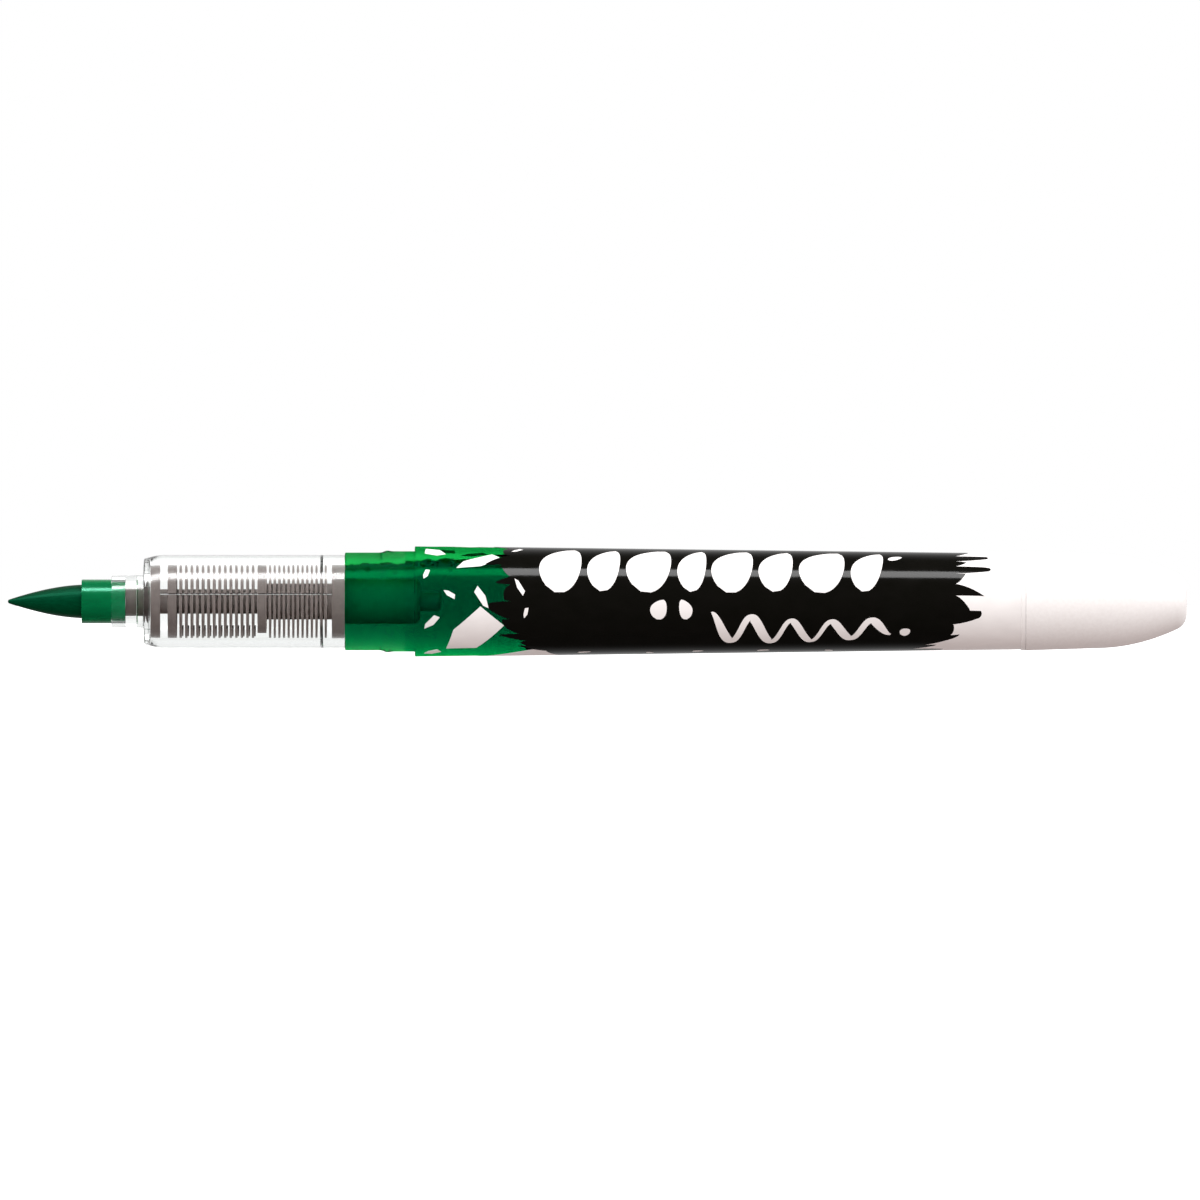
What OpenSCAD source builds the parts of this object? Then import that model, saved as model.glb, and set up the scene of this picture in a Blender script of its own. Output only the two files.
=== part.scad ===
// Brush pen with a free-ink reservoir, uncapped.
// The pen lies along X with its tip at -X. The origin is on the pen's axis, halfway along its length.
// Stations along the pen are measured from the point of the tip, in millimetres.

/* [Brush nib] */
// Length of the brush tip that stands out of the holder
tip_length = 8.45; // [7.5:0.05:10]
// Diameter of the nib where it enters the holder
nib_d = 3.84; // [3.6:0.02:3.9]
// Length of nib gripped inside the holder
nib_grip = 4.95; // [4.6:0.05:6]

/* [Nib holder] */
// Outside diameter of the holder sleeve
holder_d = 5.04; // [4.9:0.02:5.2]
// Length of the air slots in the holder's rear end
holder_slot_length = 1.65; // [1:0.05:1.7]

/* [Front section] */
// Length of sleeve that shows in front of the nozzle
holder_show = 3.45; // [3:0.05:3.8]
// Outside diameter of the nozzle at its mouth
nozzle_d = 5.84; // [5.8:0.02:6.2]
// Length of the nozzle in front of the body
nozzle_length = 3.67; // [3.4:0.01:5]
// Outside diameter of the clear body, held by the fingers
section_d = 10.64; // [10.5:0.02:10.9]
// Length of the clear body in front of the neck
section_length = 23.03; // [22.9:0.01:24]

/* [Feed comb] */
// Outside diameter of the fins
fin_d = 8.36; // [8:0.02:8.4]
// Number of thin fins in the front group
front_fins = 14; // [10:1:14]
// Distance from one front fin to the next
front_pitch = 0.637; // [0.6:0.001:0.637]
// Number of thin fins in the rear group
rear_fins = 13; // [10:1:14]
// Distance from one rear fin to the next
rear_pitch = 0.531; // [0.5:0.001:0.531]

/* [Barrel] */
// Diameter of the cap seat at the front of the neck
neck_d = 11.2; // [11:0.02:11.4]
// Length of the neck, which a cap covers
neck_length = 8; // [7.6:0.1:9]
// Printed diameter of the barrel just behind the shoulder
barrel_front_d = 12.76; // [12.4:0.02:13]
// Printed diameter of the barrel at its rear end
barrel_rear_d = 11.02; // [10.9:0.02:11.4]
// Length of the barrel behind the shoulder
barrel_length = 69.9; // [60:0.1:80]
// Diameter of the barrel's straight bore
bore_d = 9.5; // [9.4:0.02:9.6]

/* [Rear plug] */
// Diameter of the plug where it meets the barrel
plug_d = 11.22; // [11.1:0.02:11.5]
// Length of the plug that shows
plug_length = 18.5; // [17:0.1:20]

/* [Hidden] */
$fn = 96;
eps = 0.01;

// Gap between pieces that are pressed, bonded or welded together
fit_gap = 0.02;

// Stations from the tip's point
mouth_s = tip_length;
nozzle_s = mouth_s + holder_show;
body_s = nozzle_s + nozzle_length;
neck_s = body_s + section_length;
shoulder_s = neck_s + neck_length;
seam_s = shoulder_s + barrel_length;
end_s = seam_s + plug_length;

// Nib: the tip's tail is a ball that turns in the holder's bore, and the root is fixed behind it
nib_r = nib_d / 2;
nib_curve = 1.9;
point_r = 0.15;
pivot_s = mouth_s + 0.3;
ball_r = nib_r - 0.08;
ball_face = 0.9;
flex_gap = 0.06;
root_s = pivot_s + ball_r + flex_gap;
root_end_s = mouth_s + nib_grip;

// Holder
holder_end_s = root_end_s + 0.1;
mouth_chamfer = 0.4;
slot_height = 0.2;
slot_level = 2.18;

// Front section
nozzle_root_d = nozzle_d + 0.22;
shoulder_step_s = nozzle_s + 2.87;
spigot_bore_r = 1.78;
collar_bore_r = 2.55;
body_front_r = section_d / 2 - 0.42;
taper_length = 2.18;
chamber_s = body_s + 0.83;
chamber_r = 4.25;
section_end_s = shoulder_s - 1.1;
bore_groove_s = neck_s - 2.8;
bore_groove_width = 0.3;
bore_groove_depth = 0.12;
vent_d = 0.6;
vent_circle_r = 3.65;

// Feed comb
spigot_r = 1.66;
collar_r = 2.46;
collar_s = body_s + 0.05;
collar_width = 0.22;
front_disc_s = body_s + 0.92;
disc_width = 1.03;
disc_gap = 0.82;
fin_r = fin_d / 2;
front_fin = 0.28;
rear_fin = 0.24;
front_core_r = 1.4;
rear_core_r = 2.06;
second_disc_s = front_disc_s + disc_width + disc_gap;
front_fins_s = second_disc_s + disc_width + 0.3;
middle_disc_s = front_fins_s + front_pitch * 14 + 0.02;
rear_fins_s = middle_disc_s + disc_width + 0.28;
seal_s = rear_fins_s + rear_pitch * 13 + 0.3;
seal_end_s = neck_s + 0.6;
tail_r = 1.9;
tail_end_s = neck_s + 8.6;
middle_flat = 3.29;
foot_level = 2.9;
foot_extra = 0.16;
slit_level = 0.8;
slit_height = 0.15;

// Wick
wick_r = 0.8;
wick_s = root_end_s - 1.5;
wick_end_s = tail_end_s + 2.4;

// Barrel and its print
bore_r = bore_d / 2;
neck_front_r = neck_d / 2;
neck_rear_r = neck_front_r + 0.15;
ring_r = neck_front_r + 0.23;
ring_s = neck_s + 4.9;
seat_length = 4;
film = 0.05;
front_r = barrel_front_d / 2 - film - fit_gap;
rear_r = barrel_rear_d / 2 - film - fit_gap;
bead_width = 0.5;
bead_r = plug_d / 2 - 0.02;
film_s = shoulder_s + 0.2;
film_end_s = seam_s - bead_width;
edge = 0.12;

// Rear plug
plug_r = plug_d / 2;
plug_spigot = 6;
plug_wall = 1.1;
plug_taper = 0.031;
nose_bulge = 0.0249;
corner_r = 1.9;
corner_slope = 25;
nose_length = (tan(corner_slope) - plug_taper) / (2 * nose_bulge);
straight_length = plug_length - nose_length - corner_r * (1 - sin(corner_slope));

// Ink
ink_gap = 0.04;
ink_level = 2.8;
ink_end_s = seam_s - plug_spigot - 0.5;

// Puts a shape that was turned about Z onto the pen's axis
module on_axis() {
    translate([-end_s / 2, 0, 0]) rotate([0, 90, 0]) children();
}

// A solid turned from an outline of [radius, station] points
module turned(outline) {
    on_axis() rotate_extrude() polygon(outline);
}

// A plain round bar between two stations
module bar(r, from_s, to_s) {
    on_axis() translate([0, 0, from_s]) cylinder(r = r, h = to_s - from_s);
}

// Linear blend between two values
function mix(a, b, t) = a + (b - a) * t;

// Points on an arc in the outline plane, about [r, s], from angle a to angle b in n steps
function arc(r, s, radius, a, b, n) =
    [for (i = [0 : n]) let (t = mix(a, b, i / n)) [r + radius * cos(t), s + radius * sin(t)]];

// Radius of the brush tip at a distance u behind its point
function tip_radius(u) = nib_r * (1 - pow(1 - u / tip_length, nib_curve));

// Radius of the barrel's outside, under the print
function barrel_radius(s) = mix(front_r, rear_r, (s - shoulder_s) / barrel_length);

// Radius of the plug at a distance v behind the end of its straight taper
function nose_radius(v) =
    plug_r - plug_taper * (straight_length + v) - nose_bulge * v * v;

// The four corners of a fin or disc on the comb's outline
function fin(s, width, r, core) = [[core, s], [r, s], [r, s + width], [core, s + width]];

// A row of equal fins
function fin_row(count, s, pitch, width, r, core) =
    [for (i = [0 : count - 1]) for (p = fin(s + i * pitch, width, r, core)) p];

module brush_tip() {
    color("#004a2a")
    turned(concat(
        [[0, 0]],
        [for (t = [30 : 30 : 60]) [point_r * sin(t), point_r * (1 - cos(t))]],
        [for (i = [1 : 20]) let (u = mix(0.35, pivot_s - ball_face, i / 20))
            [min(tip_radius(u), nib_r - 0.02), u]],
        arc(0, pivot_s, ball_r, -asin((ball_face - 0.05) / ball_r), 90, 16)
    ));
}

module nib_root() {
    color("#005a32")
    difference() {
        bar(nib_r - fit_gap, root_s, root_end_s);
        bar(wick_r + fit_gap, wick_s, root_end_s + eps);
    }
}

module nib_holder() {
    color("#00803f")
    difference() {
        turned([
            [nib_r + mouth_chamfer, mouth_s], [holder_d / 2 - 0.08, mouth_s],
            [holder_d / 2, mouth_s + 0.08], [holder_d / 2, holder_end_s],
            [nib_r, holder_end_s], [nib_r, mouth_s + mouth_chamfer]
        ]);
        for (side = [-1, 1])
            translate([holder_end_s - holder_slot_length - end_s / 2, -holder_d,
                       side * slot_level - slot_height / 2])
            cube([holder_slot_length + eps, 2 * holder_d, slot_height]);
    }
}

module front_section() {
    taper_end_s = body_s + taper_length;
    body_r = section_d / 2;
    sleeve_r = holder_d / 2 + fit_gap;
    spigot_end_r = bore_r - fit_gap;
    color("#e8f4f2", 0.4)
    difference() {
        turned(concat(
            [[sleeve_r, nozzle_s], [nozzle_d / 2 - 0.08, nozzle_s],
             [nozzle_d / 2, nozzle_s + 0.08], [nozzle_root_d / 2, body_s]],
            arc(body_front_r - 0.25, body_s + 0.25, 0.25, -90, -12, 4),
            [for (t = [0.25 : 0.25 : 1])
                [mix(body_front_r, body_r, 1 - pow(1 - t, 1.8)), mix(body_s + 0.2, taper_end_s, t)]],
            [[body_r, neck_s], [spigot_end_r, neck_s], [spigot_end_r, section_end_s - 0.3],
             [spigot_end_r - 0.12, section_end_s], [chamber_r, section_end_s],
             [chamber_r, bore_groove_s + bore_groove_width],
             [chamber_r + bore_groove_depth, bore_groove_s + bore_groove_width / 2],
             [chamber_r, bore_groove_s],
             [chamber_r, chamber_s], [collar_bore_r, chamber_s],
             [collar_bore_r, shoulder_step_s], [spigot_bore_r, shoulder_step_s],
             [spigot_bore_r, holder_end_s], [sleeve_r, holder_end_s]]
        ));
        for (side = [-1, 1])
            on_axis() translate([side * vent_circle_r, 0, body_s - 0.5])
            cylinder(d = vent_d, h = 2, $fn = 24);
    }
}

module feed_comb() {
    hole_r = wick_r + fit_gap;
    seal_r = chamber_r - fit_gap;
    color("#7a716d")
    union() {
        difference() {
            turned(concat(
                [[hole_r, root_end_s], [spigot_r - 0.1, root_end_s], [spigot_r, root_end_s + 0.1]],
                fin(collar_s, collar_width, collar_r, spigot_r),
                [[spigot_r, front_disc_s]],
                fin(front_disc_s, disc_width, fin_r, front_core_r),
                fin(second_disc_s, disc_width, fin_r, front_core_r),
                fin_row(front_fins, front_fins_s, front_pitch, front_fin, fin_r, front_core_r),
                [[front_core_r, middle_disc_s], [fin_r, middle_disc_s],
                 [fin_r, middle_disc_s + disc_width], [rear_core_r, middle_disc_s + disc_width]],
                fin_row(rear_fins, rear_fins_s, rear_pitch, rear_fin, fin_r, rear_core_r),
                [[rear_core_r, seal_s], [seal_r, seal_s], [seal_r, seal_end_s],
                 [tail_r, seal_end_s], [tail_r, tail_end_s - 0.4],
                 [tail_r - 0.4, tail_end_s], [hole_r, tail_end_s]]
            ));
            comb_slit();
            middle_disc_flat();
            tail_slot();
        }
        fin_feet();
    }
}

// The capillary slit that carries ink between the core and the gaps
module comb_slit() {
    slit_s = front_disc_s + disc_width;
    translate([slit_s - end_s / 2, -fin_r - 1, slit_level - slit_height / 2])
    cube([seal_s - slit_s, 2 * fin_r + 2, slit_height]);
}

// The middle disc is cut flat below, where air passes along the comb
module middle_disc_flat() {
    translate([middle_disc_s - end_s / 2 - 0.05, -fin_r, -fin_r - 1])
    cube([disc_width + 0.1, 2 * fin_r, fin_r + 1 - middle_flat]);
}

// Ink reaches the wick through a slot along the tail
module tail_slot() {
    translate([seal_end_s - end_s / 2 + 0.6, -0.3, -tail_r - 1])
    cube([tail_end_s - seal_end_s, 0.6, tail_r + 1 - wick_r / 2]);
}

// Each front fin is thicker below, so that the gap there is narrower and fills first
module fin_feet() {
    for (i = [0 : front_fins - 1])
        intersection() {
            bar(fin_r - 0.2, front_fins_s + i * front_pitch + front_fin / 2,
                front_fins_s + i * front_pitch + front_fin + foot_extra);
            translate([-end_s / 2, -fin_r, -fin_r - 1])
            cube([end_s, 2 * fin_r, fin_r + 1 - foot_level]);
        }
}

module relay_wick() {
    color("#1f7a4d")
    turned([
        [0, wick_s], [wick_r - 0.15, wick_s], [wick_r, wick_s + 0.15],
        [wick_r, wick_end_s - 0.3], [wick_r - 0.3, wick_end_s], [0, wick_end_s]
    ]);
}

module ink_charge() {
    color("#00542f", 0.9)
    intersection() {
        difference() {
            turned([
                [0, seal_end_s + ink_gap], [chamber_r - ink_gap, seal_end_s + ink_gap],
                [chamber_r - ink_gap, section_end_s + ink_gap],
                [bore_r - ink_gap, section_end_s + ink_gap],
                [bore_r - ink_gap, ink_end_s], [0, ink_end_s]
            ]);
            bar(tail_r + ink_gap, seal_end_s - 1, tail_end_s + ink_gap);
            bar(wick_r + ink_gap, tail_end_s, wick_end_s + ink_gap);
        }
        translate([-end_s / 2, -bore_r - 1, -bore_r - 1])
        cube([end_s, 2 * bore_r + 2, bore_r + 1 + ink_level]);
    }
}

module barrel() {
    seat_end_s = neck_s + seat_length;
    color("#0c8f45", 0.7)
    turned(concat(
        [[bore_r, neck_s], [neck_front_r - edge, neck_s], [neck_front_r, neck_s + edge],
         [neck_front_r, seat_end_s]],
        [for (i = [1 : 8]) let (t = i / 8, lift = pow(sin(90 * t), 2))
            [mix(neck_front_r, ring_r, lift), mix(seat_end_s, ring_s, t)]],
        [for (i = [1 : 4]) let (t = i / 4)
            [mix(ring_r, neck_rear_r, pow(sin(90 * t), 2)), mix(ring_s, ring_s + 0.6, t)]],
        [[neck_rear_r, shoulder_s]],
        arc(front_r - edge, shoulder_s + edge, edge, -90, 0, 3),
        [[barrel_radius(film_end_s), film_end_s],
         [bead_r - 0.05, film_end_s], [bead_r, film_end_s + 0.08],
         [bead_r, seam_s], [bore_r, seam_s]]
    ));
}

module print_film() {
    color("#f2efee")
    turned([for (p = [[film_s, 0], [film_s, film], [film_end_s, film], [film_end_s, 0]])
        [barrel_radius(p[0]) + fit_gap + p[1], p[0]]]);
}

module rear_plug() {
    straight_s = seam_s + straight_length;
    centre_r = nose_radius(nose_length) - corner_r * cos(corner_slope);
    inner_end_s = straight_s + 5;
    plug_spigot_r = bore_r - fit_gap;
    color("#f4f1ef")
    turned(concat(
        [[plug_spigot_r - 0.15, seam_s - plug_spigot], [plug_spigot_r, seam_s - plug_spigot + 0.5],
         [plug_spigot_r, seam_s], [plug_r - 0.08, seam_s], [plug_r, seam_s + 0.08]],
        [for (i = [0 : 12]) let (v = nose_length * i / 12) [nose_radius(v), straight_s + v]],
        [for (i = [1 : 8]) let (t = mix(corner_slope, 90, i / 8))
            [centre_r + corner_r * cos(t), end_s - corner_r + corner_r * sin(t)]],
        [[0, end_s], [0, inner_end_s + 1.2]],
        [for (i = [1 : 6]) let (t = 90 * i / 6)
            [(plug_spigot_r - plug_wall) * sin(t) * 0.9, inner_end_s + 1.2 * cos(t)]],
        [[plug_spigot_r - plug_wall, seam_s], [plug_spigot_r - plug_wall + 0.1, seam_s - plug_spigot]]
    ));
}

brush_tip();
nib_root();
nib_holder();
front_section();
feed_comb();
relay_wick();
ink_charge();
barrel();
print_film();
rear_plug();
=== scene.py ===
"""Looks of the brush pen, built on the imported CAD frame.

Lengths are in millimetres until mesh data is written.
"""

import math
import random

import bmesh
import bpy
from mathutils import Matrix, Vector, noise
from mathutils.geometry import delaunay_2d_cdt


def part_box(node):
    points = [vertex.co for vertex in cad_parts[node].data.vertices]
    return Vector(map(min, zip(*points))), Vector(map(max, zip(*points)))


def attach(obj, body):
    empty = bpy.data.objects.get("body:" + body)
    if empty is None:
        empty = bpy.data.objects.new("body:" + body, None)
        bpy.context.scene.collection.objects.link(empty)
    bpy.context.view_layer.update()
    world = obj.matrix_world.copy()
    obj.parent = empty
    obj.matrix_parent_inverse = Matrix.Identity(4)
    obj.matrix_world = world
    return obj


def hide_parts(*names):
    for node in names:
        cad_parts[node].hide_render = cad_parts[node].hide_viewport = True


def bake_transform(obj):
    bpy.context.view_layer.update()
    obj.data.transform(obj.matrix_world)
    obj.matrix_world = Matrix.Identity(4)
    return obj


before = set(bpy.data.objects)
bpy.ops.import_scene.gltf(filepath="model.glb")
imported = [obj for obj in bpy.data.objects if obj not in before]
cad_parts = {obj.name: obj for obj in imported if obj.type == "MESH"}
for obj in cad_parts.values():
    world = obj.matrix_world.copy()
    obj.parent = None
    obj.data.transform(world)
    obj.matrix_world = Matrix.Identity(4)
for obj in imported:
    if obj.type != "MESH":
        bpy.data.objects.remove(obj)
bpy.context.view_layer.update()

MM = 0.001
PEN = "pen"


# ---------------------------------------------------------------- stations

def span(node):
    """First and last X of a CAD node, in millimetres."""
    low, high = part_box(node)
    return low.x / MM, high.x / MM


def reach(node):
    """Largest radius of a CAD node that is turned about the pen's axis, in millimetres."""
    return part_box(node)[1].y / MM


# How far liquid runs into the plastic that it touches, so that no air shows between them.
WET = 0.006

TIP_X, _ = span("brush_tip")
MOUTH_X, HOLDER_END_X = span("nib_holder")
ROOT_END_X = span("nib_root")[1]
NOZZLE_X, SECTION_END_X = span("front_section")
COMB_X, TAIL_END_X = span("feed_comb")
NECK_X, SEAM_X = span("barrel")
FILM_X, FILM_END_X = span("print_film")
PLUG_SPIGOT_X, END_X = span("rear_plug")
_, INK_END_X = span("ink_charge")
INK_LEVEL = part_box("ink_charge")[1].z / MM

FILM_R = reach("print_film")
SECTION_R = reach("front_section")
PLUG_R = reach("rear_plug")
NIB_R = 1.92
HOLDER_R = reach("nib_holder")
BODY_X = NOZZLE_X + 3.67
SHOULDER_X = FILM_X - 0.2
BORE_R = 4.75
CHAMBER_R = 4.25
NECK_R = 5.6
BARREL_FRONT_R = 6.31
BARREL_REAR_R = 5.44
BEAD_R = PLUG_R - 0.02


def barrel_radius(x):
    """Outside radius of the bare barrel behind the shoulder."""
    t = (x - SHOULDER_X) / (SEAM_X - SHOULDER_X)
    return BARREL_FRONT_R + (BARREL_REAR_R - BARREL_FRONT_R) * t


# ---------------------------------------------------------------- mesh tools

def new_object(name, mesh):
    piece = bpy.data.objects.new(name, mesh)
    bpy.context.scene.collection.objects.link(piece)
    return piece


def sharpen(mesh, degrees=32):
    """Smooth faces, with a hard edge wherever two of them meet at more than this angle."""
    work = bmesh.new()
    work.from_mesh(mesh)
    for face in work.faces:
        face.smooth = True
    for edge in work.edges:
        edge.smooth = len(edge.link_faces) == 2 and edge.calc_face_angle(0) < math.radians(degrees)
    work.to_mesh(mesh)
    work.free()


def rounded(corners, radius):
    """The outline with its corners rounded. A corner is (x, r) or (x, r, its own radius)."""
    points, count = [], len(corners)
    for i, corner in enumerate(corners):
        here = Vector(corner[:2])
        size = corner[2] if len(corner) > 2 else radius
        before, after = Vector(corners[i - 1][:2]), Vector(corners[(i + 1) % count][:2])
        back, on = before - here, after - here
        if size <= 0 or back.length < 1e-6 or on.length < 1e-6:
            points.append(here)
            continue
        turn = back.angle(on)
        if turn > math.radians(165):
            points.append(here)
            continue
        cut = min(size / math.tan(turn / 2), back.length * 0.45, on.length * 0.45)
        start, end = here + back.normalized() * cut, here + on.normalized() * cut
        steps = 3
        for k in range(steps + 1):
            t = k / steps
            points.append(start * (1 - t) ** 2 + here * 2 * t * (1 - t) + end * t ** 2)
    return [(p.x, p.y) for p in points]


def guarded(outline):
    """The outline with a point close to each end of its long runs, so that the runs shade as straight."""
    points, near = [], 0.04
    for i, start in enumerate(outline):
        points.append(start)
        a, b = Vector(start), Vector(outline[(i + 1) % len(outline)])
        if (b - a).length > 6 * near and max(a.y, b.y) > 0:
            step = (b - a).normalized() * near
            points += [tuple(a + step), tuple(b - step)]
    return points


def lathe(name, outline, segments=144, ripple=None):
    """A closed solid turned about the pen's axis.

    The outline is a loop of (x, r), or runs from axis to axis.
    """
    verts, rings = [], []
    for x, r in guarded(outline):
        if r < 1e-6:
            rings.append([len(verts)])
            verts.append((x * MM, 0, 0))
            continue
        rings.append(range(len(verts), len(verts) + segments))
        for k in range(segments):
            angle = math.tau * k / segments
            rr = r + (ripple(x, angle) if ripple else 0)
            verts.append((x * MM, -rr * MM * math.cos(angle), rr * MM * math.sin(angle)))
    faces, count = [], len(rings)
    for i in range(count):
        a, b = rings[i], rings[(i + 1) % count]
        if len(a) == 1 and len(b) == 1:
            continue
        for k in range(segments):
            n = (k + 1) % segments
            if len(a) == 1:
                faces.append((a[0], b[n], b[k]))
            elif len(b) == 1:
                faces.append((a[k], a[n], b[0]))
            else:
                faces.append((a[k], a[n], b[n], b[k]))
    mesh = bpy.data.meshes.new(name)
    mesh.from_pydata(verts, [], faces)
    work = bmesh.new()
    work.from_mesh(mesh)
    bmesh.ops.recalc_face_normals(work, faces=work.faces)
    work.to_mesh(mesh)
    work.free()
    sharpen(mesh)
    return new_object(name, mesh)


def block(low, high):
    """A scratch box between two corners in millimetres, for cutting."""
    work = bmesh.new()
    bmesh.ops.create_cube(work, size=1)
    for v in work.verts:
        for axis in range(3):
            v.co[axis] = ((low[axis] + high[axis]) / 2 + v.co[axis] * (high[axis] - low[axis])) * MM
    mesh = bpy.data.meshes.new("cutter")
    work.to_mesh(mesh)
    work.free()
    return new_object("cutter", mesh)


def peg(start, radius, length):
    """A scratch round bar along X, for cutting."""
    work = bmesh.new()
    bmesh.ops.create_cone(work, cap_ends=True, segments=32, radius1=radius * MM, radius2=radius * MM,
                          depth=length * MM)
    for v in work.verts:
        v.co = Vector((v.co.z, v.co.y, -v.co.x)) + Vector((start[0] + length / 2, start[1], start[2])) * MM
    mesh = bpy.data.meshes.new("cutter")
    work.to_mesh(mesh)
    work.free()
    return new_object("cutter", mesh)


def join(piece, others):
    """Adds the meshes of scratch objects to a piece and removes them."""
    work = bmesh.new()
    work.from_mesh(piece.data)
    for other in others:
        work.from_mesh(other.data)
        bpy.data.objects.remove(other)
    work.to_mesh(piece.data)
    work.free()


def cut(piece, cutters, degrees=32):
    """Cuts the scratch solids out of a piece and removes them."""
    for cutter in cutters:
        step = piece.modifiers.new("cut", "BOOLEAN")
        step.operation = "DIFFERENCE"
        step.solver = "EXACT"
        step.object = cutter
    settled = piece.evaluated_get(bpy.context.evaluated_depsgraph_get())
    mesh = bpy.data.meshes.new_from_object(settled)
    piece.modifiers.clear()
    piece.data = mesh
    for cutter in cutters:
        bpy.data.objects.remove(cutter)
    sharpen(mesh, degrees)


# ---------------------------------------------------------------- material tools

def principled(name, **values):
    """A new material and its main shader. Values are set on the shader's own sockets."""
    material = bpy.data.materials.new(name)
    material.use_nodes = True
    shader = material.node_tree.nodes["Principled BSDF"]
    for key, value in values.items():
        shader.inputs[key.replace("_", " ")].default_value = value
    return material, shader


def node(material, kind, **settings):
    made = material.node_tree.nodes.new(kind)
    for key, value in settings.items():
        setattr(made, key, value)
    return made


def stretched_noise(material, stretch, scale, detail=4.0):
    """Noise in the object's own space, stretched by these factors along X, Y and Z."""
    tree = material.node_tree
    place = node(material, "ShaderNodeTexCoord")
    mapping = node(material, "ShaderNodeMapping")
    mapping.inputs["Scale"].default_value = stretch
    texture = node(material, "ShaderNodeTexNoise")
    texture.inputs["Scale"].default_value = scale
    texture.inputs["Detail"].default_value = detail
    tree.links.new(place.outputs["Object"], mapping.inputs["Vector"])
    tree.links.new(mapping.outputs["Vector"], texture.inputs["Vector"])
    return texture


def ramp(material, source, stops):
    """A colour ramp fed by a factor. Stops are (place, grey or colour)."""
    made = node(material, "ShaderNodeValToRGB")
    elements = made.color_ramp.elements
    while len(elements) < len(stops):
        elements.new(0.5)
    for element, (place, colour) in zip(elements, stops):
        element.position = place
        element.color = (*colour, 1) if isinstance(colour, tuple) else (colour, colour, colour, 1)
    material.node_tree.links.new(source, made.inputs["Fac"])
    return made


def colour_from(material, shader, texture, stops):
    made = ramp(material, texture.outputs["Fac"], stops)
    material.node_tree.links.new(made.outputs["Color"], shader.inputs["Base Color"])


def rough_from(material, shader, texture, low, high):
    made = ramp(material, texture.outputs["Fac"], [(0.3, low), (0.7, high)])
    material.node_tree.links.new(made.outputs["Color"], shader.inputs["Roughness"])


def bump_from(material, shader, texture, strength, depth_mm):
    bump = node(material, "ShaderNodeBump")
    bump.inputs["Strength"].default_value = strength
    bump.inputs["Distance"].default_value = depth_mm * MM
    material.node_tree.links.new(texture.outputs["Fac"], bump.inputs["Height"])
    material.node_tree.links.new(bump.outputs["Normal"], shader.inputs["Normal"])


def only_bend_on_entry(material):
    """Bends and tints the rays that go in, with no mirror, as where liquid lies against plastic."""
    tree = material.node_tree
    output = tree.nodes["Material Output"]
    glass = tree.nodes["Principled BSDF"]
    bend = node(material, "ShaderNodeBsdfRefraction")
    bend.inputs["Color"].default_value = [c ** 0.5 for c in glass.inputs["Base Color"].default_value]
    bend.inputs["Roughness"].default_value = 0.0
    bend.inputs["IOR"].default_value = glass.inputs["IOR"].default_value
    side = node(material, "ShaderNodeNewGeometry")
    mix = node(material, "ShaderNodeMixShader")
    tree.links.new(side.outputs["Backfacing"], mix.inputs["Fac"])
    tree.links.new(bend.outputs["BSDF"], mix.inputs[1])
    tree.links.new(glass.outputs["BSDF"], mix.inputs[2])
    tree.links.new(mix.outputs["Shader"], output.inputs["Surface"])


def let_light_through(material, tint):
    """Lamps and diffuse light reach what is behind this glass, as they do through clear plastic."""
    tree = material.node_tree
    output = tree.nodes["Material Output"]
    glass = output.inputs["Surface"].links[0].from_socket
    path = node(material, "ShaderNodeLightPath")
    either = node(material, "ShaderNodeMath", operation="MAXIMUM")
    clear = node(material, "ShaderNodeBsdfTransparent")
    clear.inputs["Color"].default_value = (*tint, 1)
    mix = node(material, "ShaderNodeMixShader")
    tree.links.new(path.outputs["Is Shadow Ray"], either.inputs[0])
    tree.links.new(path.outputs["Is Diffuse Ray"], either.inputs[1])
    tree.links.new(either.outputs[0], mix.inputs["Fac"])
    tree.links.new(glass, mix.inputs[1])
    tree.links.new(clear.outputs["BSDF"], mix.inputs[2])
    tree.links.new(mix.outputs["Shader"], output.inputs["Surface"])


# ---------------------------------------------------------------- materials

PLASTIC_IOR, INK_IOR = 1.49, 1.35


def nib_fibre():
    """Bonded fibre soaked with ink: fine grooves along the tip, wet sheen."""
    material, shader = principled(
        "ink_soaked_fibre", Roughness=0.4, Specular_IOR_Level=0.12, Specular_Tint=(0.0, 1.0, 0.5, 1))
    strands = stretched_noise(material, (0.04, 1, 1), 9000, 3)
    colour_from(material, shader, strands, [(0.3, (0.0, 0.03, 0.01)), (0.7, (0.0, 0.046, 0.016))])
    bump_from(material, shader, strands, 0.35, 0.03)
    return material


def wick_fibre():
    """Pale drawn fibre, fine strands along it."""
    material, shader = principled("wick_fibre", Roughness=0.8, Specular_IOR_Level=0.1)
    strands = stretched_noise(material, (0.05, 1, 1), 12000, 3)
    colour_from(material, shader, strands, [(0.3, (0.34, 0.38, 0.24)), (0.7, (0.42, 0.46, 0.3))])
    bump_from(material, shader, strands, 0.4, 0.02)
    return material


def holder_plastic():
    """Green moulded plastic that lets some light through."""
    material, shader = principled(
        "green_holder_plastic", Roughness=0.18, IOR=PLASTIC_IOR, Specular_IOR_Level=0.3,
        Specular_Tint=(0.25, 1.0, 0.7, 1), Transmission_Weight=0.45)
    patches = stretched_noise(material, (0.3, 1, 1), 900, 2)
    colour_from(material, shader, patches, [(0.25, (0.0, 0.17, 0.052)), (0.75, (0.0, 0.22, 0.07))])
    bump_from(material, shader, patches, 0.05, 0.02)
    return material


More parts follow.
